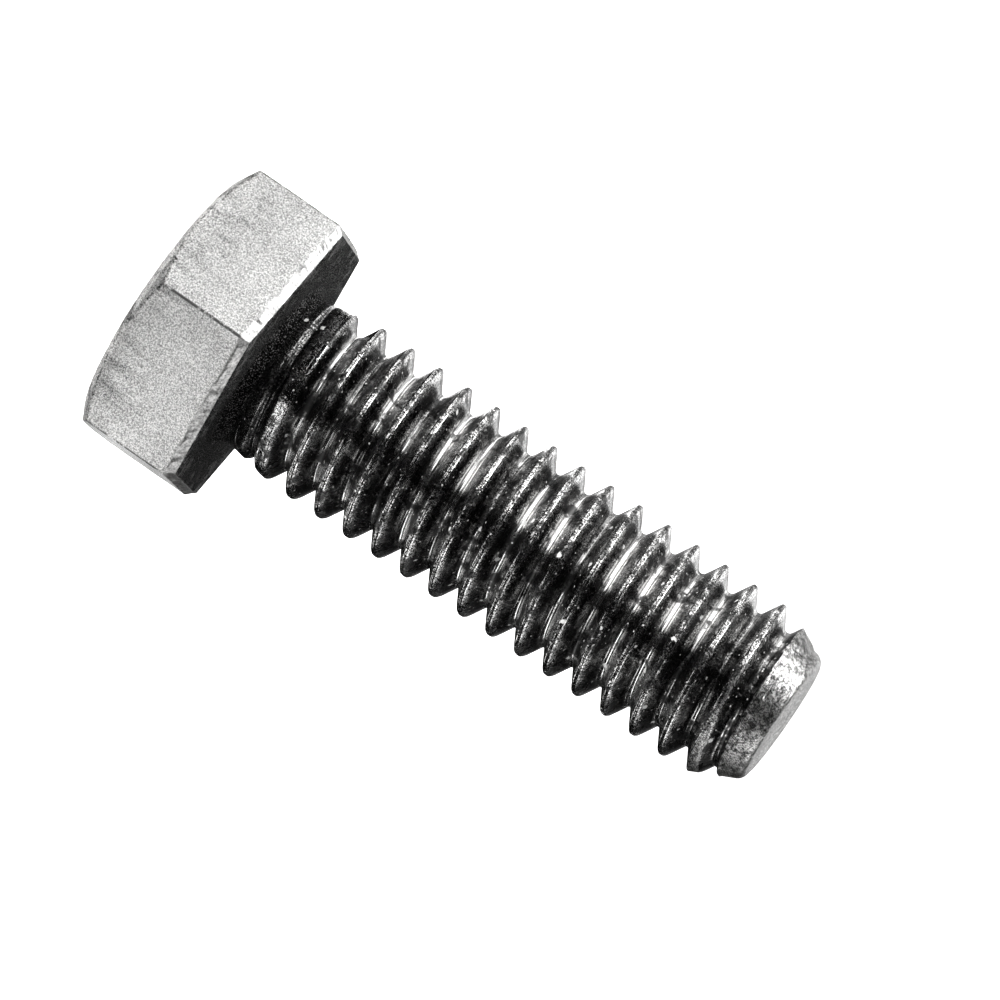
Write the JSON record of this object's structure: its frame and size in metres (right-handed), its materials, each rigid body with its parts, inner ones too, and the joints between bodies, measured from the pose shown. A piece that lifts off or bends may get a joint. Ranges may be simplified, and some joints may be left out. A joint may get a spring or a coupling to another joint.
{
  "type": "hex bolt",
  "caption": "Hexagon-head steel bolt, threaded along its whole shank, with a chamfered head and a chamfered point.",
  "frame": {"origin": "centre of the head's bearing face, on the bolt's axis", "axes": "+Z along the shank to the point, +X square to one of the head's flats, +Y through one of its corners"},
  "size_m": [0.0122, 0.0142, 0.0304],
  "materials": {
    "plated_head": "matte zinc plating with a fine forged grain",
    "rolled_thread": "glossy rolled and zinc-plated thread, worn bright on the crests"
  },
  "bodies": {
    "root": {"hex_head": "plated_head", "threaded_shank": "rolled_thread", "chamfered_point": "rolled_thread"}
  },
  "joints": []
}
